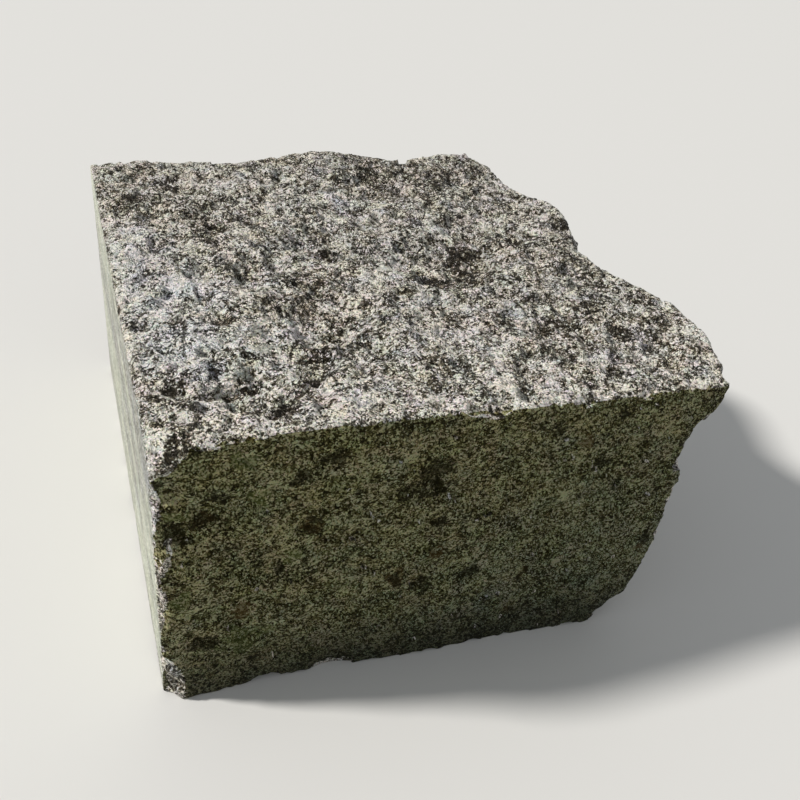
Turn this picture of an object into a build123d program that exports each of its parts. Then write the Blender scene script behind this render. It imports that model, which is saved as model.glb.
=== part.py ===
"""Granite sett: one squat paving block, split by hand on four sides and sawn on the fifth.

The block stands on its flat bed, +Z up, with its split front towards -Y and its sawn side
towards -X. Each split side is a smooth wavy surface through a grid of humps and hollows,
and the block is what those surfaces, the saw cut and the bed leave between them.
"""
import os

from build123d import *

# Overall sizes in millimetres, taken over the highest hump of each split side
length = 214.0
depth = 225.0
height = 114.5

# How far the deepest hollow of each split side lies behind its highest hump
top_relief = 13.0
front_relief = 14.0
side_relief = 45.0
back_relief = 20.0

# How far the split surfaces run past the overall sizes, and the blank half as far
overrun = 12.0

# Scallops chipped out of the arrises and corners: radius, and how deep each bites
corner_radius = 20.0
corner_bite = 7.3
foot_radius = 30.0
foot_bite = 9.9
worn_arris_radius = 45.0
worn_arris_bite = 4.7
notch_radius = 15.0
notch_bite = 6.0
nick_radius = 20.0
nick_bite = 2.0

# Depth of each split side under its highest hump, as shares of its relief. Columns run from
# left to right as that side is seen from outside. Rows run up the side, and on the top from
# the front to the back. The outermost rows and columns lie an overrun outside the block.
top_shares = [
    [0.60, 0.25, 0.12, 0.18, 0.25, 0.30, 0.38, 0.45, 0.46, 0.52, 0.70],
    [0.62, 0.16, 0.05, 0.09, 0.16, 0.25, 0.33, 0.41, 0.40, 0.45, 0.66],
    [0.55, 0.22, 0.35, 0.12, 0.22, 0.20, 0.36, 0.34, 0.46, 0.38, 0.56],
    [0.52, 0.20, 0.18, 0.42, 0.15, 0.30, 0.28, 0.46, 0.38, 0.42, 0.52],
    [0.55, 0.30, 0.12, 0.25, 0.20, 0.18, 0.40, 0.38, 0.52, 0.54, 0.72],
    [0.50, 0.35, 0.22, 0.35, 0.30, 0.38, 0.82, 0.45, 0.36, 0.60, 0.88],
    [0.55, 0.28, 0.30, 0.20, 0.42, 0.25, 0.48, 0.62, 0.50, 0.42, 0.60],
    [0.48, 0.40, 0.22, 0.38, 0.28, 0.45, 0.35, 0.42, 0.60, 0.48, 0.55],
    [0.52, 0.32, 0.45, 0.25, 0.40, 0.30, 0.50, 0.35, 0.50, 0.62, 0.66],
    [0.55, 0.45, 0.35, 0.42, 0.30, 0.15, 0.36, 0.42, 0.34, 0.56, 0.80],
    [0.60, 0.52, 0.45, 0.50, 0.40, 0.26, 0.40, 0.50, 0.48, 0.70, 0.95],
]
front_shares = [
    [0.68, 0.68, 0.70, 0.62, 0.44, 0.32, 0.28, 0.08, 0.00, 0.00, 0.00],
    [0.74, 0.73, 0.75, 0.68, 0.52, 0.42, 0.36, 0.22, 0.10, 0.08, 0.05],
    [0.80, 0.79, 0.76, 0.74, 0.62, 0.52, 0.50, 0.38, 0.28, 0.25, 0.22],
    [0.84, 0.82, 0.84, 0.78, 0.74, 0.62, 0.58, 0.56, 0.46, 0.40, 0.38],
    [0.88, 0.90, 0.86, 0.88, 0.80, 0.78, 0.70, 0.68, 0.66, 0.60, 0.56],
    [0.92, 0.92, 0.93, 0.90, 0.92, 0.90, 0.88, 0.90, 0.86, 0.88, 0.80],
    [0.95, 0.96, 0.94, 0.98, 1.00, 1.00, 0.98, 1.00, 1.00, 1.00, 0.95],
]
side_shares = [
    [1.00, 0.90, 0.55, 0.48, 0.50, 0.42, 0.40, 0.50, 0.48, 0.60, 0.90],
    [0.85, 0.67, 0.44, 0.38, 0.40, 0.32, 0.30, 0.42, 0.40, 0.46, 0.74],
    [0.72, 0.55, 0.40, 0.35, 0.28, 0.25, 0.36, 0.38, 0.30, 0.42, 0.70],
    [0.70, 0.53, 0.38, 0.27, 0.20, 0.31, 0.34, 0.27, 0.33, 0.45, 0.66],
    [0.62, 0.47, 0.27, 0.17, 0.24, 0.33, 0.25, 0.22, 0.36, 0.38, 0.62],
    [0.55, 0.33, 0.10, 0.02, 0.16, 0.29, 0.18, 0.10, 0.30, 0.32, 0.60],
    [0.62, 0.38, 0.10, 0.00, 0.17, 0.30, 0.17, 0.08, 0.30, 0.36, 0.70],
]
back_shares = [
    [0.95, 0.80, 0.60, 0.62, 0.55, 0.45, 0.60, 0.70, 0.62, 0.66, 0.80],
    [0.80, 0.60, 0.45, 0.48, 0.38, 0.32, 0.48, 0.55, 0.45, 0.50, 0.66],
    [0.70, 0.52, 0.35, 0.34, 0.22, 0.30, 0.45, 0.38, 0.34, 0.52, 0.60],
    [0.60, 0.42, 0.30, 0.18, 0.20, 0.38, 0.34, 0.25, 0.40, 0.50, 0.48],
    [0.50, 0.35, 0.20, 0.12, 0.28, 0.30, 0.22, 0.35, 0.48, 0.40, 0.40],
    [0.55, 0.30, 0.08, 0.20, 0.22, 0.18, 0.30, 0.38, 0.45, 0.30, 0.42],
    [0.60, 0.35, 0.05, 0.18, 0.20, 0.15, 0.28, 0.36, 0.42, 0.30, 0.45],
]

# Where each scallop bites: a point on the arris or corner as shares of the overall sizes,
# from the lower front left corner of the block, and the way out of the stone there
corner_place_shares = [
    ((0.0, 0.058, 0.978), (-1.0, -1.6, 1.7)),
    ((0.94, 0.987, 0.926), (1.0, 1.0, 0.8)),
]
foot_place_shares = [
    ((0.836, 0.002, 0.0), (1.4, -0.8, -1.2)),
    ((0.888, 0.956, 0.0), (1.4, 1.4, -1.0)),
]
worn_arris_place_shares = [((0.0, 0.044, 0.07), (-1.0, -1.26, 0.0))]
notch_place_shares = [((0.904, 0.049, 0.72), (1.0, -0.6, 0.0))]
nick_place_shares = [
    ((0.0, 0.050, 0.46), (-1.0, -1.0, 0.0)),
    ((0.010, 0.053, 0.64), (-0.7, -1.0, 0.0)),
    ((0.0, 0.056, 0.80), (-1.0, -1.0, 0.0)),
]

# Each side of the block as a plane that faces outwards, from its lower or front left corner
left, right = -length / 2, length / 2
front, back = -depth / 2, depth / 2
top_side = Plane(origin=(left, front, height), x_dir=(1, 0, 0), z_dir=(0, 0, 1))
front_side = Plane(origin=(left, front, 0), x_dir=(1, 0, 0), z_dir=(0, -1, 0))
right_side = Plane(origin=(right, front, 0), x_dir=(0, 1, 0), z_dir=(1, 0, 0))
back_side = Plane(origin=(right, back, 0), x_dir=(-1, 0, 0), z_dir=(0, 1, 0))


def split_surface(side, width, rise, relief, shares):
    """Smooth surface through one side's humps and hollows, an overrun past it all round."""
    step_up = (rise + 2 * overrun) / (len(shares) - 1)
    rows = []
    for row, row_shares in enumerate(shares):
        step_along = (width + 2 * overrun) / (len(row_shares) - 1)
        rows.append(
            [
                side.from_local_coords(
                    Vector(column * step_along - overrun, row * step_up - overrun, -relief * share)
                )
                for column, share in enumerate(row_shares)
            ]
        )
    lines_along = [Edge.make_spline(row) for row in rows]
    lines_up = [Edge.make_spline(column) for column in zip(*rows)]
    return Face.make_gordon_surface(lines_along, lines_up)


def scallop_centre(place_share, way_out, radius, bite):
    """Centre of the ball that bites that deep into the stone at one place."""
    x_share, y_share, z_share = place_share
    arris_point = Vector(left + length * x_share, front + depth * y_share, height * z_share)
    return arris_point + Vector(*way_out).normalized() * (radius - bite)


split_surfaces = (
    split_surface(top_side, length, depth, top_relief, top_shares),
    split_surface(front_side, length, height, front_relief, front_shares),
    split_surface(right_side, depth, height, side_relief, side_shares),
    split_surface(back_side, length, height, back_relief, back_shares),
)

with BuildPart() as sett:
    # Blank that stands on the bed against the saw cut, with stone to spare on the other sides
    with BuildSketch(Plane.XY):
        with Locations((left, front - overrun / 2)):
            Rectangle(length + overrun / 2, depth + overrun, align=(Align.MIN, Align.MIN))
    extrude(amount=height + overrun / 2)
    for surface in split_surfaces:
        split(bisect_by=surface, keep=Keep.BOTTOM)
    for place_shares, radius, bite in (
        (corner_place_shares, corner_radius, corner_bite),
        (foot_place_shares, foot_radius, foot_bite),
        (worn_arris_place_shares, worn_arris_radius, worn_arris_bite),
        (notch_place_shares, notch_radius, notch_bite),
        (nick_place_shares, nick_radius, nick_bite),
    ):
        with Locations(*[scallop_centre(*place, radius, bite) for place in place_shares]):
            Sphere(radius, mode=Mode.SUBTRACT)
    # The origin is the middle of the bed, under the middle of the block's overall sizes
    middle = sett.part.bounding_box().center()
    add(sett.part.moved(Location((-middle.X, -middle.Y, 0))), mode=Mode.REPLACE)

sett.part.label = "sett"

os.makedirs("parts", exist_ok=True)
export_step(sett.part, "parts/sett.step")
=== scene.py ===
"""Looks of the granite sett: cleft stone in black, grey and cream grains, old on its front and
sawn on its left side. Its mesh starts from the CAD block and is broken up finely inside it."""

import math
import random

import bmesh
import bpy
import numpy as np
from mathutils import Euler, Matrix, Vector, noise
from mathutils.bvhtree import BVHTree
from mathutils.kdtree import KDTree


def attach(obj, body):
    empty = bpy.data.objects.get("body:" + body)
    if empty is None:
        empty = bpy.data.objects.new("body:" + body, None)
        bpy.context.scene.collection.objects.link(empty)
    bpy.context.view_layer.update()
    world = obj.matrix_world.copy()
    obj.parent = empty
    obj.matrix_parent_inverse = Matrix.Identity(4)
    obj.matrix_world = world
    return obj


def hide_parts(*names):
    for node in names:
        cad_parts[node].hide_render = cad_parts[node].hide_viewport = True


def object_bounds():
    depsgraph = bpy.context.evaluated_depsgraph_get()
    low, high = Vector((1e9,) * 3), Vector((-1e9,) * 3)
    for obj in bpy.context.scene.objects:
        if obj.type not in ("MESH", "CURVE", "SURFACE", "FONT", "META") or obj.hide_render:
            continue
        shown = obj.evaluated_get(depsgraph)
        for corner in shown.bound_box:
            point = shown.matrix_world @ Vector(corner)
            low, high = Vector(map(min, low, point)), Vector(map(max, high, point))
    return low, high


MM = 0.001
X, Y, Z = range(3)
SPLIT, WEATHERED, SAWN, BEDDED = range(4)

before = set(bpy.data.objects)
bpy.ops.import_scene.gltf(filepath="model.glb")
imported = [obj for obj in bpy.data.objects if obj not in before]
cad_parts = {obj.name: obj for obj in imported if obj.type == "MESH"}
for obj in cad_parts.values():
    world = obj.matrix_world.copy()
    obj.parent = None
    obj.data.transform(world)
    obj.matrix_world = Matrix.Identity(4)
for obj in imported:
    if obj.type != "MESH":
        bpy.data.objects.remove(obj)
cad_low, cad_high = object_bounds()
cad_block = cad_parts["sett"]

# Camera: where the photograph was taken from, and how the camera was turned and rolled there
camera_place = Vector((-119.6, -264.8, 259.3)) * MM
camera_yaw, camera_pitch, camera_roll = 26.73, 36.84, 9.77
camera_lens, camera_sensor = 36.0, 36.0
camera_near = 10.0 * MM

# Stone mesh: how fine it is while it is worked, how many triangles are kept, how near to the
# bed or the saw cut a face is flat, how near two corners are joined, and the seed of its breaks
voxel_size = 1.0 * MM
kept_triangles = 186000
flat_margin = 0.3 * MM
weld_reach = 0.001 * MM
stone_seed = 7

# How much of a way out of the stone has to point to a side for it to belong to that side: to
# the bed or the saw cut, to the front, and to the front on the broken stone itself
flat_turn = 0.95
front_turn = 0.8
front_chip_turn = 0.5

# Between which turns the front's calmer relief, its masks and the top's masks set in
front_relief_turns = (0.7, 0.9)
front_mask_turns = (0.6, 0.9)
top_mask_turns = (0.2, 0.5)

# Cleft scoops, large to small: how many, how wide, and their depth as a share of the width.
# Both spread from scoop to scoop, and the share is of the depth that is left at an arris
cleft_scoops = ((90, 40.0 * MM, 0.04), (420, 19.0 * MM, 0.08), (1400, 9.0 * MM, 0.12))
scoop_width_spread = (0.55, 1.35)
scoop_depth_spread = (0.4, 1.2)
arris_scoop_share = 0.2

# Hollows that show on the top: place as shares of its length and depth, width and depth
top_hollow_shares = (
    (0.27, 0.22, 14 * MM, 2.8 * MM),
    (0.63, 0.43, 9 * MM, 2.2 * MM),
    (0.56, 0.43, 14 * MM, 3.2 * MM),
    (0.66, 0.50, 17 * MM, 4.0 * MM),
    (0.05, 0.18, 9 * MM, 1.8 * MM),
    (0.13, 0.17, 8 * MM, 1.4 * MM),
    (0.15, 0.33, 8 * MM, 1.5 * MM),
    (0.32, 0.29, 8 * MM, 1.3 * MM),
    (0.69, 0.91, 12 * MM, 1.8 * MM),
    (0.48, 0.16, 8 * MM, 1.4 * MM),
    (0.17, 0.69, 10 * MM, 1.6 * MM),
    (0.27, 0.67, 10 * MM, 1.6 * MM),
    (0.38, 0.54, 8 * MM, 1.3 * MM),
    (0.93, 0.60, 11 * MM, 1.7 * MM),
    (0.79, 0.56, 9 * MM, 1.5 * MM),
    (0.69, 0.25, 10 * MM, 1.4 * MM),
    (0.56, 0.08, 7 * MM, 1.8 * MM),
    (0.24, 0.14, 9 * MM, 1.3 * MM),
    (0.02, 0.34, 8 * MM, 1.3 * MM),
    (0.92, 0.31, 12 * MM, 1.6 * MM),
)

# Thin ledges on the top, from and to as shares of it, and the width of the painted shadow under each as a
# share of its width
top_ledge_shares = (
    ((0.10, 0.16), (0.17, 0.18)),
    ((0.17, 0.10), (0.25, 0.165)),
    ((0.37, 0.84), (0.44, 0.815)),
    ((0.37, 0.56), (0.41, 0.54)),
)
ledge_width, ledge_depth = 5.0 * MM, 1.6 * MM
ledge_steps = 8
ledge_shadow_share = 0.3

# Flakes gone from the front: place as shares of its length and height, width, depth and lean.
# They lie by that share of the depth behind its foremost hump, and are taller than wide
front_flake_shares = (
    (0.03, 0.70, 11 * MM, 2.2 * MM, -0.16),
    (0.02, 0.86, 9 * MM, 1.6 * MM, 0.10),
    (0.01, 0.56, 9 * MM, 1.2 * MM, 0.00),
    (0.41, 0.78, 13 * MM, 1.2 * MM, 0.00),
    (0.22, 0.65, 9 * MM, 1.0 * MM, 0.00),
    (0.16, 0.53, 10 * MM, 0.9 * MM, 0.00),
    (0.41, 0.35, 11 * MM, 1.0 * MM, 0.00),
    (0.61, 0.31, 9 * MM, 0.9 * MM, 0.00),
    (0.71, 0.72, 9 * MM, 1.0 * MM, 0.00),
)
front_skin_share = 0.03
flake_tallness = 1.3

# Broad paler and darker reaches of the top, partly of the stone and partly painted light and shade where
# it leans to or from the lamp: place as shares of it, radius, and how much paler
top_tone_and_shading_shares = (
    (0.03, 0.60, 14 * MM, 1.0),
    (0.06, 0.45, 20 * MM, 1.0),
    (0.08, 0.29, 18 * MM, 1.0),
    (0.20, 0.28, 14 * MM, 0.4),
    (0.32, 0.58, 12 * MM, 0.5),
    (0.47, 0.75, 22 * MM, 0.8),
    (0.47, 0.55, 12 * MM, 0.5),
    (0.48, 0.40, 16 * MM, 0.8),
    (0.50, 0.24, 18 * MM, 0.8),
    (0.80, 0.72, 14 * MM, 0.4),
    (0.07, 0.82, 22 * MM, -0.5),
    (0.20, 0.67, 20 * MM, -0.6),
    (0.33, 0.42, 14 * MM, -0.6),
    (0.64, 0.88, 22 * MM, -1.0),
    (0.80, 0.90, 18 * MM, -0.6),
    (0.64, 0.48, 14 * MM, -1.0),
    (0.56, 0.42, 9 * MM, -0.8),
    (0.72, 0.36, 9 * MM, 0.8),
    (0.62, 0.62, 7 * MM, 0.8),
    (0.62, 0.33, 9 * MM, 0.5),
    (0.78, 0.30, 16 * MM, -0.7),
    (0.90, 0.50, 18 * MM, -0.5),
)

# Patches richer in black mica, partly painted shade in pits, hollows and at the front left corner, and
# paler ones, partly painted glints: place as shares of the top, and radius
top_dark_and_shade_shares = (
    (0.27, 0.23, 6 * MM),
    (0.63, 0.43, 5 * MM),
    (0.56, 0.43, 6 * MM),
    (0.65, 0.49, 6 * MM),
    (0.66, 0.55, 5 * MM),
    (0.17, 0.69, 3 * MM),
    (0.27, 0.66, 3.5 * MM),
    (0.18, 0.59, 3 * MM),
    (0.38, 0.54, 2.5 * MM),
    (0.15, 0.33, 3 * MM),
    (0.32, 0.29, 3 * MM),
    (0.05, 0.18, 3 * MM),
    (0.13, 0.17, 2.5 * MM),
    (0.24, 0.17, 3 * MM),
    (0.19, 0.12, 2 * MM),
    (0.21, 0.88, 2.5 * MM),
    (0.06, 0.79, 3 * MM),
    (0.02, 0.34, 2.5 * MM),
    (0.30, 0.44, 2 * MM),
    (0.29, 0.34, 2.5 * MM),
    (0.69, 0.91, 3.5 * MM),
    (0.78, 0.88, 2 * MM),
    (0.48, 0.16, 3 * MM),
    (0.79, 0.56, 3 * MM),
    (0.95, 0.62, 4 * MM),
    (0.85, 0.70, 2.5 * MM),
    (0.79, 0.46, 2.5 * MM),
    (0.69, 0.25, 3 * MM),
    (0.83, 0.22, 4.5 * MM),
    (0.94, 0.32, 5 * MM),
    (0.56, 0.07, 2.5 * MM),
    (0.68, 0.74, 2.5 * MM),
    (0.04, 0.07, 3 * MM),
)
# Paler patches; several of them, most near the sawn side, are painted glints
top_pale_and_glint_shares = (
    (0.01, 0.70, 3 * MM),
    (0.01, 0.58, 3 * MM),
    (0.06, 0.56, 3 * MM),
    (0.04, 0.49, 4.5 * MM),
    (0.05, 0.36, 4 * MM),
    (0.11, 0.46, 5 * MM),
    (0.23, 0.24, 3.5 * MM),
    (0.05, 0.13, 4 * MM),
    (0.39, 0.87, 3 * MM),
    (0.28, 0.10, 5 * MM),
    (0.15, 0.22, 4 * MM),
    (0.32, 0.66, 2 * MM),
    (0.42, 0.74, 3 * MM),
    (0.41, 0.43, 3 * MM),
    (0.61, 0.10, 3 * MM),
    (0.64, 0.25, 3 * MM),
    (0.91, 0.66, 3 * MM),
    (0.84, 0.40, 2.5 * MM),
    (0.52, 0.53, 3 * MM),
    (0.57, 0.51, 3 * MM),
    (0.64, 0.62, 3 * MM),
    (0.70, 0.49, 3 * MM),
    (0.49, 0.43, 3 * MM),
    (0.55, 0.33, 3.5 * MM),
    (0.74, 0.15, 3 * MM),
    (0.42, 0.21, 3 * MM),
    (0.53, 0.11, 5 * MM),
    (0.78, 0.10, 3 * MM),
)

# Clots, rust, moss and paler spots of the front, with painted shade as the dark patch at its upper left
# corner: place as shares of its length and height, and radius
front_dark_shares = (
    (0.41, 0.77, 7 * MM),
    (0.25, 0.90, 4 * MM),
    (0.20, 0.85, 3 * MM),
    (0.29, 0.76, 2 * MM),
    (0.36, 0.72, 2.5 * MM),
    (0.22, 0.65, 4 * MM),
    (0.16, 0.61, 2 * MM),
    (0.21, 0.58, 2 * MM),
    (0.14, 0.54, 2.5 * MM),
    (0.18, 0.51, 2.5 * MM),
    (0.09, 0.82, 3.5 * MM),
    (0.07, 0.74, 3 * MM),
    (0.03, 0.70, 4 * MM),
    (0.01, 0.88, 3.5 * MM),
    (0.04, 0.98, 4 * MM),
    (0.42, 0.33, 4 * MM),
    (0.37, 0.38, 3 * MM),
    (0.61, 0.30, 3 * MM),
    (0.66, 0.37, 2.5 * MM),
    (0.75, 0.65, 2.5 * MM),
    (0.71, 0.73, 3.5 * MM),
    (0.85, 0.38, 2.5 * MM),
    (0.91, 0.54, 2 * MM),
    (0.50, 0.35, 3 * MM),
    (0.43, 0.59, 3 * MM),
    (0.06, 0.25, 4 * MM),
    (0.61, 0.88, 3 * MM),
    (0.72, 0.91, 3 * MM),
)
front_rust_shares = (
    (0.22, 0.65, 3 * MM),
    (0.07, 0.74, 2.5 * MM),
    (0.12, 0.36, 3 * MM),
    (0.37, 0.39, 3 * MM),
    (0.61, 0.31, 2.5 * MM),
    (0.84, 0.35, 2 * MM),
    (0.67, 0.83, 3 * MM),
    (0.43, 0.47, 2.5 * MM),
    (0.60, 0.15, 2 * MM),
)
front_moss_shares = (
    (0.11, 0.23, 6 * MM),
    (0.15, 0.26, 3.5 * MM),
    (0.12, 0.92, 3 * MM),
    (0.15, 0.80, 3 * MM),
    (0.19, 0.55, 3.5 * MM),
    (0.03, 0.46, 3 * MM),
    (0.03, 0.77, 2.5 * MM),
)
front_pale_shares = (
    (0.67, 0.32, 1.5 * MM),
    (0.65, 0.64, 2 * MM),
    (0.56, 0.77, 1.5 * MM),
    (0.36, 0.86, 2.5 * MM),
    (0.23, 0.51, 1.5 * MM),
    (0.16, 0.84, 2.5 * MM),
    (0.02, 0.82, 2 * MM),
    (0.03, 0.66, 2.5 * MM),
    (0.02, 0.20, 3 * MM),
)

# Spalls along the arrises: how far apart, how wide, and their depth as a share of the width.
# Both spread from spall to spall, and the way each is struck sways. Breaks along the top's
# front rim, which turns up and forward by at least that much, are larger
arris_angle = 35.0
arris_step = 0.5 * MM
spall_spacing = 3.0 * MM
spall_width = 5.0 * MM
spall_depth_share = 0.13
spall_width_spread = (-0.25, 0.5)
spall_depth_spread = (0.5, 1.4)
spall_sway = 0.25
rim_turn = 0.4
rim_break_spacing = 8.0 * MM
rim_break_width = 7.0 * MM

# Fine relief of the cleft faces: size of each kind of bump, and its lean or height. Facets
# have bent borders, and their centres are spread so that each draws a lean of its own. The
# relief is lower on the front and towards the arrises
coarse_facet, coarse_facet_lean = 7.5 * MM, 0.28
fine_facet, fine_facet_lean = 3.2 * MM, 0.28
facet_bend_size, facet_bend_in_mm = 6.0 * MM, 1.6
facet_draw_spread = 13.7
ripple_size, ripple_height = 2.4 * MM, 0.22 * MM
ripple_falloff, ripple_step, ripple_layers = 0.8, 2.0, 2
front_relief_share = 0.45
arris_calm, arris_calm_share = 4.0 * MM, 0.25

# Room to the sides of the CAD block's box: how much a way out has to turn to a side for that
# side to count, and the least room that is left
least_side_turn, least_room = 0.1, 0.001 * MM

# Where the three parts of a random push are read, far apart so that they are unlike
stir_asides = (Vector((31.4, 0.0, 0.0)), Vector((0.0, 47.2, 0.0)), Vector((0.0, 0.0, 59.8)))

# Masks of wear and of painted light and shade: how wide the crushed band behind the arrises is, how
# patches are bent ragged, at which shares of its radius a patch starts to fade and is gone, and how finely
# rims fray
crushed_band = 11.0 * MM
patch_bend_size, patch_bend = 5.0 * MM, 3.0 * MM
patch_core_share, patch_rim_share = 0.3, 1.8
fine_fray, middle_fray, broad_fray = 3.0 * MM, 4.0 * MM, 6.0 * MM

# Granite: sizes of its swirls, grains, crystals and specks, and of its broad, warm and tinted
# clouds, the relief of the swirls and of the leaning crystals, and how far off a second
# reading is taken so that it is unlike the first
swirl_size = 5.0 * MM
grain_size = 6.5 * MM
crystal_size = 0.85 * MM
speck_size = 0.46 * MM
crystal_wobble = 0.9
broad_cloud, warm_cloud, tinted_cloud = 12.0 * MM, 10.0 * MM, 7.0 * MM
mean_swirl = 0.495
swirl_relief, crystal_relief = 2.4 * MM, 2.4
unlike_place = (0.37, 0.11, 0.53)

# Shades of the granite from black mica to the palest feldspar, and its cool and warm colours there
stone_shades = (0.14, 0.34, 0.48, 0.62, 0.71, 0.84)
cool_colours = (
    (0.018, 0.014, 0.007),
    (0.070, 0.063, 0.050),
    (0.142, 0.143, 0.133),
    (0.310, 0.320, 0.313),
    (0.61, 0.63, 0.63),
    (0.94, 0.95, 0.95),
)
warm_colours = (
    (0.020, 0.014, 0.005),
    (0.080, 0.066, 0.040),
    (0.178, 0.156, 0.106),
    (0.370, 0.345, 0.265),
    (0.70, 0.67, 0.56),
    (0.96, 0.94, 0.85),
)

# Between which places along X the paler reaches of the split stone turn cooler towards the sawn side: a
# painted bluish sheen
sheen_start, sheen_end = -50.0 * MM, -95.0 * MM

# Film on the front by the shade of the stone under it, its olive partly painted yellow-green lawn light
# and its darkness partly painted shade, what else has settled there, and painted shade at its foot
film_and_painted_light_shades = (0.15, 0.45, 0.75)
film_and_painted_light_colours = ((0.44, 0.43, 0.08), (0.415, 0.43, 0.225), (0.395, 0.41, 0.275))
film_size, clot_size = 3.0 * MM, 5.0 * MM
grime_colour = (0.060, 0.062, 0.034, 1.0)
rust_colour = (0.075, 0.046, 0.014, 1.0)
moss_colour = (0.10, 0.13, 0.035, 1.0)
clot_colour = (0.010, 0.009, 0.002, 1.0)
# Painted shade of the ground at the front's foot: its colour, and how high it reaches
ground_shade_colour = (0.014, 0.015, 0.013, 1.0)
ground_shade_height = 34.0 * MM

# Wash of the front from brown at its upper left to blue at its lower right
wash_start, wash_end = -240.0 * MM, 60.0 * MM
brown_wash = (1.05, 1.04, 0.96, 1.0)
blue_wash = (0.80, 0.87, 0.95, 1.0)

# Saw lines of the left side: how dense they are along each axis, their slope and their depth
saw_line_density = (1, 6, 50)
saw_line_slope = 0.03
saw_line_depth = 0.1 * MM
# Pale and dull colours of the saw lines, their green partly painted light from a lawn, and the earth
# colour of the bed
sawn_pale_and_lawn_light_colour = (0.37, 0.41, 0.295, 1.0)
sawn_dull_and_lawn_light_colour = (0.048, 0.056, 0.040, 1.0)
bed_earth_colour = (0.16, 0.15, 0.115, 1.0)

# Studio: a wide pale floor, a broad lamp and the way to it, and an even sky
floor_reach = 30.0
floor_colour = (0.75, 0.745, 0.73, 1.0)
lamp_colour = (1.0, 0.97, 0.92)
lamp_power, lamp_breadth = 3.5, 6.0
way_to_lamp = Vector((-0.75, 0.25, 0.6))
sky_colour, sky_power = (0.95, 0.98, 1.0, 1.0), 0.36
backdrop_colour = (0.86, 0.86, 0.85, 1.0)


def aim_camera():
    """The camera of the photograph, the scene's own camera."""
    lens = bpy.data.cameras.new("photograph_camera")
    lens.lens = camera_lens
    lens.sensor_width = camera_sensor
    lens.clip_start = camera_near
    camera = bpy.data.objects.new("photograph_camera", lens)
    bpy.context.scene.collection.objects.link(camera)
    turn = Euler((0, 0, -math.radians(camera_yaw))).to_matrix()
    tilt = Euler((math.radians(90 - camera_pitch), 0, 0)).to_matrix()
    roll = Euler((0, 0, math.radians(camera_roll))).to_matrix()
    camera.matrix_world = (turn @ tilt @ roll).to_4x4()
    camera.location = camera_place
    bpy.context.scene.camera = camera


def welded(mesh):
    """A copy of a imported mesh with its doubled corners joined, so that its arrises are real edges."""
    block = bmesh.new()
    block.from_mesh(mesh)
    bmesh.ops.remove_doubles(block, verts=block.verts, dist=weld_reach)
    block.normal_update()
    return block


def apply_modifier(piece, kind, **settings):
    """Replaces the piece's mesh by what one modifier makes of it."""
    modifier = piece.modifiers.new(kind.lower(), kind)
    for name, value in settings.items():
        setattr(modifier, name, value)
    graph = bpy.context.evaluated_depsgraph_get()
    made = bpy.data.meshes.new_from_object(piece.evaluated_get(graph))
    piece.modifiers.clear()
    piece.data = made


def mesh_points(mesh):
    """All points of a mesh as rows of x, y and z."""
    flat = np.empty(len(mesh.vertices) * 3, np.float32)
    mesh.vertices.foreach_get("co", flat)
    return flat.reshape(-1, 3).astype(float)


def set_mesh_points(mesh, points):
    """Moves the mesh's points."""
    mesh.vertices.foreach_set("co", points.astype(np.float32).ravel())
    mesh.update()


def smooth_step(values, start, end):
    """0 at start, 1 at end and an even turn between them."""
    share = np.clip((values - start) / (end - start), 0, 1)
    return share * share * (3 - 2 * share)


def search_tree(places):
    """A quick way to find which of the places lie near a spot."""
    tree = KDTree(len(places))
    for index, place in enumerate(places):
        tree.insert(place, index)
    tree.balance()
    return tree


def place_on_block(x_share, y_share, z_share):
    """A place given as shares of the block's overall sizes, from its lower front left corner."""
    size = cad_high - cad_low
    return cad_low + Vector((x_share * size.x, y_share * size.y, z_share * size.z))


def nearest_ways_out(points, cad_surface):
    """For each point, the way out of the stone on the CAD face nearest to it."""
    return np.array([cad_surface.find_nearest(Vector(point))[1] for point in points])


def arris_spots(block):
    """Points along the block's arrises, each with the way out of the stone there."""
    spots = []
    for edge in block.edges:
        if len(edge.link_faces) != 2 or edge.calc_face_angle(0.0) < math.radians(arris_angle):
            continue
        start, end = (corner.co for corner in edge.verts)
        way_out = (edge.link_faces[0].normal + edge.link_faces[1].normal).normalized()
        steps = max(1, round((end - start).length / arris_step))
        for step in range(steps):
            spots.append((start.lerp(end, step / steps), way_out))
    return spots


def distances_to(points, arris_tree):
    """How far each point lies from the nearest arris."""
    return np.array([arris_tree.find(point)[2] for point in points])


class StoneSurface:
    """The stone's points while it is worked, found by where they lay at first."""

    def __init__(self, points):
        self.points = points
        self.tree = search_tree(points)

    def nearest(self, spot):
        """Where the point that lay nearest to the spot is now."""
        return self.points[self.tree.find(spot)[1]].copy()

    def near(self, spot, reach):
        """Indices of the points that lay within reach of the spot."""
        return np.array([found[1] for found in self.tree.find_range(spot, reach)], int)

    def spall(self, spot, way_out, width, bite):
        """Breaks a chip out of the stone: a ball bites that wide and that deep at its spot."""
        radius = (width * width / 4 + bite * bite) / (2 * bite)
        centre = spot + way_out * (radius - bite)
        near = self.near(spot, width)
        away = self.points[near] - centre
        reach = np.linalg.norm(away, axis=1)
        pared = reach < radius
        self.points[near[pared]] = centre + away[pared] * (radius / reach[pared])[:, None]

    def scoop(self, spot, way_out, along, width, bite, lean):
        """Pares a cleft side back to a shallow oval bowl that wide, that deep and leaning that much."""
        near = self.near(spot, width / 2)
        offset = self.points[near] - spot
        rise = offset @ way_out
        ahead = offset @ along
        across = offset @ np.cross(way_out, along)
        inside = 1 - (ahead * ahead + 2 * across * across) / (width * width / 4)
        bowl = lean * ahead - bite * inside
        drop = np.clip(rise - bowl, 0, 2 * bite * np.clip(inside, 0, 1))
        self.points[near] -= drop[:, None] * way_out


def side_direction(way_out, chance):
    """A direction along the stone's face, turned any way."""
    along = np.cross(way_out, [chance.gauss(0, 1) for _ in range(3)])
    return along / np.linalg.norm(along)


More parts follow.
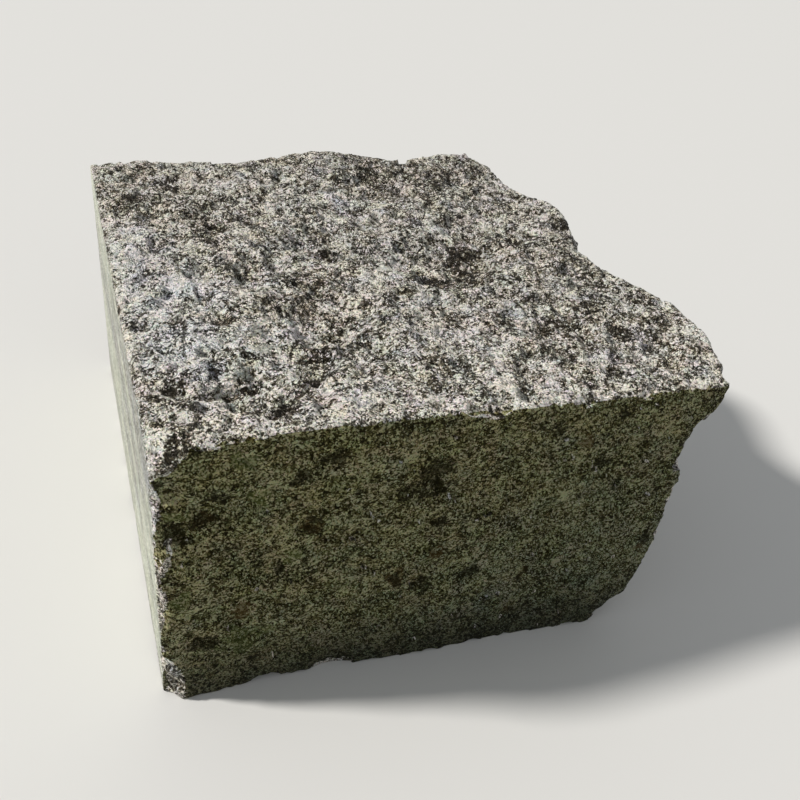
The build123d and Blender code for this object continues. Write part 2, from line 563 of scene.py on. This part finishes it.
def cleave(surface, ways_out, to_arris, rough, chance):
    """Covers the cleft sides with shallow scoops that lean every way, calmer towards the arrises."""
    rough_points = np.flatnonzero(rough)
    for count, width, depth_share in cleft_scoops:
        for _ in range(count):
            index = rough_points[chance.randrange(len(rough_points))]
            way_out = ways_out[index]
            own_width = width * chance.uniform(*scoop_width_spread)
            bite = own_width * depth_share * chance.uniform(*scoop_depth_spread)
            if way_out[Y] < -front_turn:
                bite *= front_relief_share
            bite *= max(arris_scoop_share, min(1.0, to_arris[index] / own_width))
            lean = chance.uniform(0, 2 * bite / own_width)
            spot = surface.points[index].copy()
            surface.scoop(spot, way_out, side_direction(way_out, chance), own_width, bite, lean)


def ledge_places():
    """Places along the ledges, as shares of the top."""
    steps = [step / ledge_steps for step in range(ledge_steps + 1)]
    ends = [(Vector(start), Vector(end)) for start, end in top_ledge_shares]
    return [start.lerp(end, step) for start, end in ends for step in steps]


def hollow_sides(surface):
    """The hollows, ledges and flakes that show on the top and the front."""
    upward, outward = np.array((0.0, 0.0, 1.0)), np.array((0.0, -1.0, 0.0))
    ledges = [(*place, ledge_width, ledge_depth) for place in ledge_places()]
    for x_share, y_share, width, bite in (*top_hollow_shares, *ledges):
        spot = surface.nearest(place_on_block(x_share, y_share, 1.0))
        surface.spall(spot, upward, width, bite)
    for x_share, z_share, width, bite, lean in front_flake_shares:
        spot = surface.nearest(place_on_block(x_share, front_skin_share, z_share))
        surface.scoop(spot, outward, upward, width * flake_tallness, bite, lean)


def spall_arrises(surface, spots, chance):
    """Breaks spalls off the arrises, so that they run ragged, and larger ones off the top's front rim."""
    for spot, way_out in spots:
        forward_rim = way_out.z > rim_turn and way_out.y < -rim_turn
        at_rim = forward_rim and chance.random() < arris_step / rim_break_spacing
        if not at_rim and chance.random() > arris_step / spall_spacing:
            continue
        width = (rim_break_width if at_rim else spall_width) * chance.lognormvariate(*spall_width_spread)
        bite = width * spall_depth_share * chance.uniform(*spall_depth_spread)
        sway = Vector([chance.gauss(0, spall_sway) for _ in range(3)])
        surface.spall(np.array(spot), np.array((way_out + sway).normalized()), width, bite)


def stirred(place):
    """A push that changes smoothly from place to place, up to 1 long each way."""
    return Vector([noise.noise(place + aside) for aside in stir_asides])


def facet_height(place, size, lean):
    """Height of a broken facet: the stone parts into cells of that size, and each leans its own way."""
    place = place / size
    _, centres = noise.voronoi(place)
    tilt = noise.cell_vector(centres[0] * facet_draw_spread)
    return (place - centres[0]).dot(tilt) * size * lean


def fine_relief(point):
    """Height of the broken grain at a point of a cleft side."""
    place = Vector(point)
    bent = place + stirred(place / facet_bend_size) * facet_bend_in_mm * MM
    return (
        facet_height(bent, coarse_facet, coarse_facet_lean)
        + facet_height(bent, fine_facet, fine_facet_lean)
        + noise.fractal(place / ripple_size, ripple_falloff, ripple_step, ripple_layers) * ripple_height
    )


def room_in_box(points, ways_out):
    """How far each point can move outwards before it leaves the CAD block's box."""
    limits = np.where(ways_out > 0, np.array(cad_high), np.array(cad_low))
    turned = np.abs(ways_out) > least_side_turn
    rooms = np.where(turned, (limits - points) / np.where(turned, ways_out, 1), 1.0)
    return np.maximum(rooms.min(axis=1), least_room)


def roughen(surface, ways_out, to_arris, rough, lift):
    """Raises the broken grain on the cleft sides, on top of an even lift, and keeps it in the box."""
    heights = np.full(len(surface.points), lift)
    for index in np.flatnonzero(rough):
        heights[index] += fine_relief(surface.points[index])
    forward = smooth_step(-ways_out[:, Y], *front_relief_turns)
    heights *= 1 - (1 - front_relief_share) * forward
    heights *= arris_calm_share + (1 - arris_calm_share) * smooth_step(to_arris, 0, arris_calm)
    room = room_in_box(surface.points, ways_out)
    heights = np.where(heights > 0, room * np.tanh(heights / room), heights) * rough
    surface.points += ways_out * heights[:, None]


def carve_stone():
    """The stone as a finely broken mesh that keeps the CAD block's outline, bed and sawn side."""
    chance = random.Random(stone_seed)
    block = welded(cad_block.data)
    cad_surface = BVHTree.FromBMesh(block)
    spots = arris_spots(block)
    arris_tree = search_tree([spot for spot, _ in spots])
    stone = bpy.data.objects.new("granite_sett", bpy.data.meshes.new("granite_sett"))
    bpy.context.scene.collection.objects.link(stone)
    block.to_mesh(stone.data)
    block.free()
    apply_modifier(stone, "REMESH", mode="VOXEL", voxel_size=voxel_size, use_smooth_shade=True)

    surface = StoneSurface(mesh_points(stone.data))
    ways_out = nearest_ways_out(surface.points, cad_surface)
    rough = (ways_out[:, Z] > -flat_turn) & (ways_out[:, X] > -flat_turn)
    whole = surface.points.copy()
    to_arris = distances_to(whole, arris_tree)
    cleave(surface, ways_out, to_arris, rough, chance)
    hollow_sides(surface)
    sunk = ((whole - surface.points) * ways_out).sum(axis=1)[rough].mean()
    spall_arrises(surface, spots, chance)
    roughen(surface, ways_out, to_arris, rough, sunk)
    set_mesh_points(stone.data, surface.points)

    stone.data.calc_loop_triangles()
    share = kept_triangles / len(stone.data.loop_triangles)
    apply_modifier(stone, "DECIMATE", ratio=min(1.0, share))
    set_mesh_points(stone.data, np.clip(mesh_points(stone.data), cad_low, cad_high))
    paint_wear_and_shading(stone.data, cad_surface, arris_tree)
    finish_sides(stone.data, cad_surface)
    return stone


def paint(mesh, name, values):
    """Keeps a mask on the mesh's points for the materials to read."""
    layer = mesh.attributes.new(name, "FLOAT", "POINT")
    layer.data.foreach_set("value", np.clip(values, 0, 1).astype(np.float32))


def bent_ragged(points):
    """The points moved about a little, so that round patches taken there get ragged rims."""
    pushes = [stirred(Vector(point) / patch_bend_size) for point in points]
    return points + np.array(pushes) * patch_bend


def patches(points, across, up, places):
    """Round patches on a side that two axes span: 1 in their middles and 0 past their rims."""
    size = np.array(cad_high - cad_low)
    shares = (points - np.array(cad_low)) / size
    covered = np.zeros(len(points))
    for across_share, up_share, radius in places:
        aside = (shares[:, across] - across_share) * size[across]
        above = (shares[:, up] - up_share) * size[up]
        fade = smooth_step(np.hypot(aside, above), patch_core_share * radius, patch_rim_share * radius)
        covered = np.maximum(covered, 1 - fade)
    return covered


def paint_wear_and_shading(mesh, cad_surface, arris_tree):
    """Keeps the masks of the crushed rim, of the tones and patches with their painted light, shade and
    glints, and of moss and rust.
    """
    points = mesh_points(mesh)
    ragged = bent_ragged(points)
    ways_out = nearest_ways_out(points, cad_surface)
    upward = smooth_step(ways_out[:, Z], *top_mask_turns)
    forward = smooth_step(-ways_out[:, Y], *front_mask_turns)
    crushed = 1 - smooth_step(distances_to(points, arris_tree), 0, crushed_band)
    # Broad tones, partly of the stone and partly painted light and shade
    tones_and_shading = [patches(points, X, Y, [place]) * paler for *place, paler in top_tone_and_shading_shares]
    # Painted shadow under each ledge joins the dark patches
    ledges = [(*place, ledge_shadow_share * ledge_width) for place in ledge_places()]
    top_dark_and_shade = patches(ragged, X, Y, [*top_dark_and_shade_shares, *ledges]) * upward
    front_dark = patches(ragged, X, Z, front_dark_shares) * forward
    # Paler patches, partly painted glints
    top_pale_and_glint = patches(ragged, X, Y, top_pale_and_glint_shares) * upward
    front_pale = patches(ragged, X, Z, front_pale_shares) * forward
    paint(mesh, "crushed", crushed * upward)
    paint(mesh, "dark", np.maximum(top_dark_and_shade, front_dark))
    paint(mesh, "tone_and_shading", 0.5 + 0.5 * sum(tones_and_shading) * upward)
    paint(mesh, "pale", np.maximum(top_pale_and_glint, front_pale))
    paint(mesh, "moss", patches(ragged, X, Z, front_moss_shares) * forward)
    paint(mesh, "rust", patches(ragged, X, Z, front_rust_shares) * forward)


def finish_sides(mesh, cad_surface):
    """Gives each face of the stone the finish of its side."""
    for material in (split_granite(), weathered_granite(), sawn_granite(), bedded_granite()):
        mesh.materials.append(material)
    finishes = [side_finish(face, cad_surface) for face in mesh.polygons]
    mesh.polygons.foreach_set("material_index", finishes)
    mesh.polygons.foreach_set("use_smooth", [True] * len(mesh.polygons))
    mesh.update()


def side_finish(face, cad_surface):
    """Which finish a face has. Chips that turn away from the front are split anew."""
    if face.center.x < cad_low.x + flat_margin:
        return SAWN
    if face.center.z < cad_low.z + flat_margin:
        return BEDDED
    _, way_out, _, _ = cad_surface.find_nearest(face.center)
    at_front = way_out.y < -front_turn and face.normal.y < -front_chip_turn
    return WEATHERED if at_front else SPLIT


def shader(tree, kind, settings=None, sockets=None):
    """One shader node, with its settings and with its sockets fed by values or by other nodes' outputs."""
    made = tree.nodes.new("ShaderNode" + kind)
    for name, value in (settings or {}).items():
        setattr(made, name, value)
    for name, value in (sockets or {}).items():
        feed(tree, made.inputs[name], value)
    return made


def feed(tree, socket, value):
    """Sets a socket to a value, or links it to another node's output."""
    if isinstance(value, bpy.types.NodeSocket):
        tree.links.new(value, socket)
    else:
        socket.default_value = value


def calc(tree, operation, *values, clamp=False):
    """Arithmetic on values or outputs."""
    made = shader(tree, "Math", {"operation": operation, "use_clamp": clamp}, dict(enumerate(values)))
    return made.outputs[0]


def weighed(tree, total, parts):
    """A value with parts added, each times its weight."""
    for part, weight in parts:
        total = calc(tree, "MULTIPLY_ADD", part, weight, total)
    return total


def swung(tree, total, parts):
    """A value with random parts added, each of which swings about zero by half its weight."""
    for part, weight in parts:
        total = calc(tree, "ADD", total, calc(tree, "MULTIPLY_ADD", part, weight, -weight / 2))
    return total


def vector_calc(tree, operation, first, second, output="Vector"):
    """Arithmetic on vectors."""
    made = shader(tree, "VectorMath", {"operation": operation}, {0: first, 1: second})
    return made.outputs[output]


def scaled(tree, vector, factor):
    """A vector made that many times longer."""
    made = shader(tree, "VectorMath", {"operation": "SCALE"}, {0: vector, "Scale": factor})
    return made.outputs[0]


def parted(tree, vector):
    """The three parts of a vector or a colour."""
    return shader(tree, "SeparateXYZ", None, {0: vector}).outputs


def clouded(tree, place, density, detail, roughness=0.5, distortion=0.0):
    """Random clouds, that many to the metre, as a value and as a colour."""
    sockets = {"Vector": place, "Scale": density, "Detail": detail}
    sockets.update({"Roughness": roughness, "Distortion": distortion})
    return shader(tree, "TexNoise", None, sockets)


def mixed(tree, share, first, second, how="MIX"):
    """A colour between two others."""
    settings = {"data_type": "RGBA", "blend_type": how}
    made = shader(tree, "Mix", settings, {0: share, 6: first, 7: second})
    return made.outputs[2]


def stepped(tree, value, start, end, low=0.0, high=1.0):
    """A value that turns evenly from low to high as another goes from start to end."""
    settings = {"interpolation_type": "SMOOTHSTEP"}
    sockets = {"Value": value, "From Min": start, "From Max": end, "To Min": low, "To Max": high}
    return shader(tree, "MapRange", settings, sockets).outputs[0]


def colour_ramp(tree, value, stops, colours):
    """Colours along a value, one at each of its stops."""
    made = shader(tree, "ValToRGB", None, {"Fac": value})
    ramp = made.color_ramp
    for _ in stops[2:]:
        ramp.elements.new(0.5)
    for element, stop, colour in zip(ramp.elements, stops, colours):
        element.position = stop
        element.color = (*colour, 1.0)
    return made.outputs[0]


def new_group(name, inputs, outputs):
    """An empty node group with named sockets: its tree, its input outlets and its output node."""
    tree = bpy.data.node_groups.new(name, "ShaderNodeTree")
    for socket, (kind, value) in inputs.items():
        made = tree.interface.new_socket(name=socket, in_out="INPUT", socket_type="NodeSocket" + kind)
        if value is not None:
            made.default_value = value
    for socket, kind in outputs.items():
        tree.interface.new_socket(name=socket, in_out="OUTPUT", socket_type="NodeSocket" + kind)
    return tree, tree.nodes.new("NodeGroupInput").outputs, tree.nodes.new("NodeGroupOutput").inputs


def placed_group(tree, group, **sockets):
    """A node group placed in a tree, its sockets named with underscores for spaces."""
    made = tree.nodes.new("ShaderNodeGroup")
    made.node_tree = group
    for name, value in sockets.items():
        feed(tree, made.inputs[name.replace("_", " ").title()], value)
    return made.outputs


def make_crystal_group():
    """Crystals: each has a random shade of its own and a face that leans its own way."""
    tree, given, results = new_group(
        "crystals",
        {"Place": ("Vector", None), "Size": ("Float", crystal_size), "Wobble": ("Float", 0.5)},
        {"Shade": "Float", "Facet": "Float", "Gloss": "Float", "Tint": "Vector"},
    )
    density = calc(tree, "DIVIDE", 1.0, given["Size"])
    wobble = clouded(tree, given["Place"], density, 2.0)
    offset = vector_calc(tree, "SUBTRACT", wobble.outputs["Color"], (0.5, 0.5, 0.5))
    reach = calc(tree, "MULTIPLY", given["Size"], given["Wobble"])
    bent = vector_calc(tree, "ADD", given["Place"], scaled(tree, offset, reach))
    cells = shader(tree, "TexVoronoi", None, {"Vector": bent, "Scale": density, "Randomness": 1.0})
    shade, _, gloss = parted(tree, cells.outputs["Color"])
    lean = vector_calc(tree, "SUBTRACT", cells.outputs["Color"], (0.5, 0.5, 0.5))
    inside = vector_calc(tree, "SUBTRACT", bent, cells.outputs["Position"])
    feed(tree, results["Shade"], shade)
    feed(tree, results["Facet"], vector_calc(tree, "DOT_PRODUCT", lean, inside, "Value"))
    feed(tree, results["Gloss"], gloss)
    feed(tree, results["Tint"], lean)
    return tree


def make_cloud_group():
    """Soft clouds of a given size, from 0 to 1, with more or less of them filled."""
    tree, given, results = new_group(
        "clouds",
        {
            "Place": ("Vector", None),
            "Size": ("Float", broad_cloud),
            "Filled": ("Float", 0.5),
            "Softness": ("Float", 0.2),
            "Detail": ("Float", 4.0),
        },
        {"Mask": "Float"},
    )
    density = calc(tree, "DIVIDE", 1.0, given["Size"])
    cloud = clouded(tree, given["Place"], density, given["Detail"], 0.6)
    level = calc(tree, "SUBTRACT", 1.0, given["Filled"])
    start = calc(tree, "SUBTRACT", level, given["Softness"])
    end = calc(tree, "ADD", level, given["Softness"])
    feed(tree, results["Mask"], stepped(tree, cloud.outputs["Fac"], start, end))
    return tree


def make_granite_group(crystals, clouds):
    """Granite: black mica, grey quartz and cream feldspar, in swirls, grains, crystals and fine white
    flecks, partly painted glints.
    """
    tree, given, results = new_group(
        "granite",
        {
            "Place": ("Vector", None),
            "Darkness": ("Float", 0.0),
            "Warmth": ("Float", 0.5),
            "Swirls": ("Float", 3.0),
            "Tints": ("Float", 1.0),
        },
        {"Colour": "Color", "Shade": "Float", "Height": "Float", "Gloss": "Float"},
    )
    place = given["Place"]
    moved = vector_calc(tree, "ADD", place, unlike_place)
    swirl = clouded(tree, place, 1 / swirl_size, 4.0, 0.74, 1.3).outputs["Fac"]
    grain = placed_group(tree, crystals, place=place, size=grain_size, wobble=crystal_wobble)
    large = placed_group(tree, crystals, place=place, size=crystal_size, wobble=crystal_wobble)
    small = placed_group(tree, crystals, place=moved, size=speck_size, wobble=crystal_wobble)
    broad = placed_group(tree, clouds, place=moved, size=broad_cloud, filled=0.5, softness=0.25)

    shade = calc(tree, "SUBTRACT", swirl, mean_swirl)
    shade = swung(tree, shade, ((grain["Shade"], 0.10), (broad["Mask"], 0.12)))
    shade = calc(tree, "ADD", shade, stepped(tree, swirl, 0.54, 0.72, 0.0, 0.06))
    shade = calc(tree, "MULTIPLY", shade, given["Swirls"])
    shade = swung(tree, shade, ((large["Shade"], 0.50), (small["Shade"], 0.55)))
    # White flecks of feldspar, brightened as painted glints
    for fleck_and_glint, start, weight in ((small["Gloss"], 0.88, 0.45), (large["Gloss"], 0.89, 0.28)):
        shade = calc(tree, "ADD", shade, stepped(tree, fleck_and_glint, start, start + 0.06, 0.0, weight))
    shade = calc(tree, "ADD", shade, calc(tree, "SUBTRACT", 0.50, given["Darkness"]), clamp=True)

    cool_stone = colour_ramp(tree, shade, stone_shades, cool_colours)
    warm_stone = colour_ramp(tree, shade, stone_shades, warm_colours)
    warm = placed_group(
        tree, clouds, place=place, size=warm_cloud, filled=given["Warmth"], softness=0.2
    )
    stone = mixed(tree, warm["Mask"], cool_stone, warm_stone)
    hue = clouded(tree, moved, 1 / tinted_cloud, 4.0, 0.65)
    warmer = calc(tree, "SUBTRACT", hue.outputs["Fac"], 0.5)
    redder = calc(tree, "MULTIPLY", warmer, 0.12)
    bluer = calc(tree, "MULTIPLY", warmer, -0.28)
    shift = shader(tree, "CombineXYZ", None, {0: redder, 2: bluer}).outputs[0]
    for part, weight in ((grain["Tint"], 0.06), (small["Tint"], 0.15)):
        shift = vector_calc(tree, "ADD", shift, scaled(tree, part, weight))
    shift = vector_calc(tree, "ADD", scaled(tree, shift, given["Tints"]), (1.0, 1.0, 1.0))

    relief = calc(tree, "MULTIPLY", swirl, swirl_relief)
    facets = calc(tree, "ADD", large["Facet"], small["Facet"])
    feed(tree, results["Colour"], mixed(tree, 1.0, stone, shift, "MULTIPLY"))
    feed(tree, results["Shade"], shade)
    feed(tree, results["Height"], calc(tree, "MULTIPLY_ADD", facets, crystal_relief, relief))
    feed(tree, results["Gloss"], large["Gloss"])
    return tree


def new_material(name):
    """An empty material: itself, its tree and its Principled shader."""
    material = bpy.data.materials.new(name)
    material.use_nodes = True
    tree = material.node_tree
    tree.nodes.clear()
    surface = shader(tree, "BsdfPrincipled")
    output = shader(tree, "OutputMaterial")
    tree.links.new(surface.outputs[0], output.inputs["Surface"])
    return material, tree, surface


def stone_place(tree):
    """The place on the stone that a material colours."""
    return shader(tree, "TexCoord").outputs["Object"]


def bumped(tree, height, strength, distance):
    """A normal roughened by that height."""
    sockets = {"Strength": strength, "Distance": distance, "Height": height}
    return shader(tree, "Bump", None, sockets).outputs[0]


def kept_mask(tree, name):
    """One of the masks of wear and of painted light and shade kept on the mesh."""
    return shader(tree, "Attribute", {"attribute_name": name}).outputs["Fac"]


def broken_mask(tree, name, place, size):
    """A mask of the mesh with its rim broken up by clouds of that size."""
    cloud = clouded(tree, place, 1 / size, 5.0, 0.75)
    frayed = calc(tree, "MULTIPLY_ADD", cloud.outputs["Fac"], 8.0, -3.0)
    level = calc(tree, "MULTIPLY", kept_mask(tree, name), frayed)
    return stepped(tree, level, 0.35, 0.6)


def split_granite():
    """Freshly cleft stone of the top, right side and back."""
    material, tree, surface = new_material("split_granite")
    place = stone_place(tree)
    # Dark patches: partly black mica, partly painted shade in pits, hollows and under ledges; pale ones:
    # partly paler stone, partly painted glints
    dark = broken_mask(tree, "dark", place, fine_fray)
    pale = broken_mask(tree, "pale", place, fine_fray)
    crushed = broken_mask(tree, "crushed", place, broad_fray)
    # Broad tones of the top, partly of the stone and partly painted light and shade
    tone_and_shading = calc(tree, "SUBTRACT", kept_mask(tree, "tone_and_shading"), 0.5)
    covers = ((dark, 0.46), (pale, -0.28), (crushed, -0.10), (tone_and_shading, -0.30))
    darkness = weighed(tree, -0.02, covers)
    warmth = weighed(tree, 0.61, ((crushed, 0.12),))
    # Paler reaches turn cooler, most of all towards the sawn side: a painted bluish sheen
    leftward = stepped(tree, parted(tree, place)[X], sheen_start, sheen_end)
    sheen_coolness = weighed(tree, 0.08, ((leftward, 0.28),))
    warmth = calc(tree, "SUBTRACT", warmth, calc(tree, "MULTIPLY", tone_and_shading, sheen_coolness))
    stone = placed_group(tree, granite_group, place=place, darkness=darkness, warmth=warmth, swirls=2.9)
    feed(tree, surface.inputs["Base Color"], stone["Colour"])
    feed(tree, surface.inputs["Roughness"], stepped(tree, stone["Gloss"], 0.1, 0.9, 0.2, 0.6))
    surface.inputs["Specular IOR Level"].default_value = 0.35
    feed(tree, surface.inputs["Normal"], bumped(tree, stone["Height"], 1.0, 1.0))
    return material


def weathered_granite():
    """Old face of the front under an olive and brown film, partly painted lawn light and shade, with dark
    clots, rust, a little moss and painted shade at its foot.
    """
    material, tree, surface = new_material("weathered_granite")
    place = stone_place(tree)
    dark = broken_mask(tree, "dark", place, middle_fray)
    clots = placed_group(tree, cloud_group, place=place, size=clot_size, filled=0.31, softness=0.06)
    gloom = calc(tree, "MAXIMUM", dark, calc(tree, "MULTIPLY", clots["Mask"], 0.6))
    pale = broken_mask(tree, "pale", place, fine_fray)
    darkness = weighed(tree, 0.02, ((gloom, 0.14), (pale, -0.30)))
    stone = placed_group(
        tree, granite_group, place=place, darkness=darkness, warmth=0.6, swirls=1.1, tints=1.3
    )
    # Olive film, partly painted yellow-green lawn light and partly painted shade
    film_and_painted_light = colour_ramp(tree, stone["Shade"], film_and_painted_light_shades, film_and_painted_light_colours)
    colour = mixed(tree, 1.0, stone["Colour"], film_and_painted_light, "MULTIPLY")
    grime = placed_group(tree, cloud_group, place=place, size=film_size, filled=0.45, softness=0.3)
    rust = broken_mask(tree, "rust", place, fine_fray)
    moss = broken_mask(tree, "moss", place, broad_fray)
    for cover, share, cover_colour in (
        (grime["Mask"], 0.2, grime_colour),
        (rust, 0.6, rust_colour),
        (moss, 0.35, moss_colour),
        (gloom, 0.7, clot_colour),
    ):
        colour = mixed(tree, calc(tree, "MULTIPLY", cover, share), colour, cover_colour)
    across, _, height = parted(tree, place)
    rightward = weighed(tree, across, ((height, -2.0),))
    wash = mixed(tree, stepped(tree, rightward, wash_start, wash_end), brown_wash, blue_wash)
    washed = mixed(tree, 1.0, colour, wash, "MULTIPLY")
    # Painted shade of the ground, darkest at the foot
    ground_shade = stepped(tree, height, 0.0, ground_shade_height, 0.6, 0.0)
    feed(tree, surface.inputs["Base Color"], mixed(tree, ground_shade, washed, ground_shade_colour))
    feed(tree, surface.inputs["Roughness"], stepped(tree, stone["Gloss"], 0.1, 0.9, 0.6, 0.85))
    surface.inputs["Specular IOR Level"].default_value = 0.05
    feed(tree, surface.inputs["Normal"], bumped(tree, stone["Height"], 0.7, 1.0))
    return material


def sawn_granite():
    """Saw-cut stone of the left side: pale, flat and lined from front to back by the saw, its green tint
    partly painted light from a lawn.
    """
    material, tree, surface = new_material("sawn_granite")
    place = stone_place(tree)
    stone = placed_group(tree, granite_group, place=place, darkness=-0.02, warmth=0.5, swirls=1.2)
    turn = {"Vector": place, "Rotation": (saw_line_slope, 0, 0), "Scale": saw_line_density}
    lines = shader(tree, "Mapping", None, turn).outputs[0]
    saw = clouded(tree, lines, 1.0, 5.0, 0.6).outputs["Fac"]
    pale = mixed(tree, 0.55, stone["Colour"], sawn_pale_and_lawn_light_colour)
    dull = mixed(tree, 0.55, stone["Colour"], sawn_dull_and_lawn_light_colour)
    feed(tree, surface.inputs["Base Color"], mixed(tree, stepped(tree, saw, 0.40, 0.62), pale, dull))
    feed(tree, surface.inputs["Roughness"], stepped(tree, stone["Gloss"], 0.0, 1.0, 0.45, 0.6))
    feed(tree, surface.inputs["Normal"], bumped(tree, saw, 0.3, saw_line_depth))
    return material


def bedded_granite():
    """Plain dressed stone of the bed."""
    material, tree, surface = new_material("bedded_granite")
    place = stone_place(tree)
    stone = placed_group(tree, granite_group, place=place, darkness=0.0, warmth=0.6)
    feed(tree, surface.inputs["Base Color"], mixed(tree, 0.4, stone["Colour"], bed_earth_colour))
    feed(tree, surface.inputs["Roughness"], stepped(tree, stone["Gloss"], 0.0, 1.0, 0.6, 0.8))
    feed(tree, surface.inputs["Normal"], bumped(tree, stone["Height"], 0.5, 1.0))
    return material


def lay_floor():
    """A plain pale floor under the bed, much wider than the camera sees."""
    mesh = bpy.data.meshes.new("floor")
    corners = [(x * floor_reach, y * floor_reach, 0) for x, y in ((-1, -1), (1, -1), (1, 1), (-1, 1))]
    mesh.from_pydata(corners, [], [(0, 1, 2, 3)])
    floor = bpy.data.objects.new("floor", mesh)
    bpy.context.scene.collection.objects.link(floor)
    floor.location.z = cad_low.z
    material, _, surface = new_material("pale_floor")
    surface.inputs["Base Color"].default_value = floor_colour
    surface.inputs["Roughness"].default_value = 0.9
    mesh.materials.append(material)


def light_studio():
    """One broad lamp from the upper left and behind, and an even pale sky."""
    lamp = bpy.data.lights.new("key_lamp", "SUN")
    lamp.energy = lamp_power
    lamp.angle = math.radians(lamp_breadth)
    lamp.color = lamp_colour
    key = bpy.data.objects.new("key_lamp", lamp)
    bpy.context.scene.collection.objects.link(key)
    key.rotation_euler = way_to_lamp.to_track_quat("Z", "Y").to_euler()
    world = bpy.data.worlds.new("pale_sky")
    bpy.context.scene.world = world
    world.use_nodes = True
    tree = world.node_tree
    tree.nodes.clear()
    sky = shader(tree, "Background", None, {"Color": sky_colour, "Strength": sky_power})
    backdrop = shader(tree, "Background", None, {"Color": backdrop_colour, "Strength": 1.0})
    seen = shader(tree, "LightPath").outputs["Is Camera Ray"]
    mix = shader(tree, "MixShader", None, {0: seen, 1: sky.outputs[0], 2: backdrop.outputs[0]})
    output = shader(tree, "OutputWorld")
    tree.links.new(mix.outputs[0], output.inputs["Surface"])


aim_camera()
crystal_group = make_crystal_group()
cloud_group = make_cloud_group()
granite_group = make_granite_group(crystal_group, cloud_group)
granite_sett = carve_stone()
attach(granite_sett, "root")
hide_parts("sett")
lay_floor()
light_studio()
bpy.context.scene.view_settings.view_transform = "Standard"
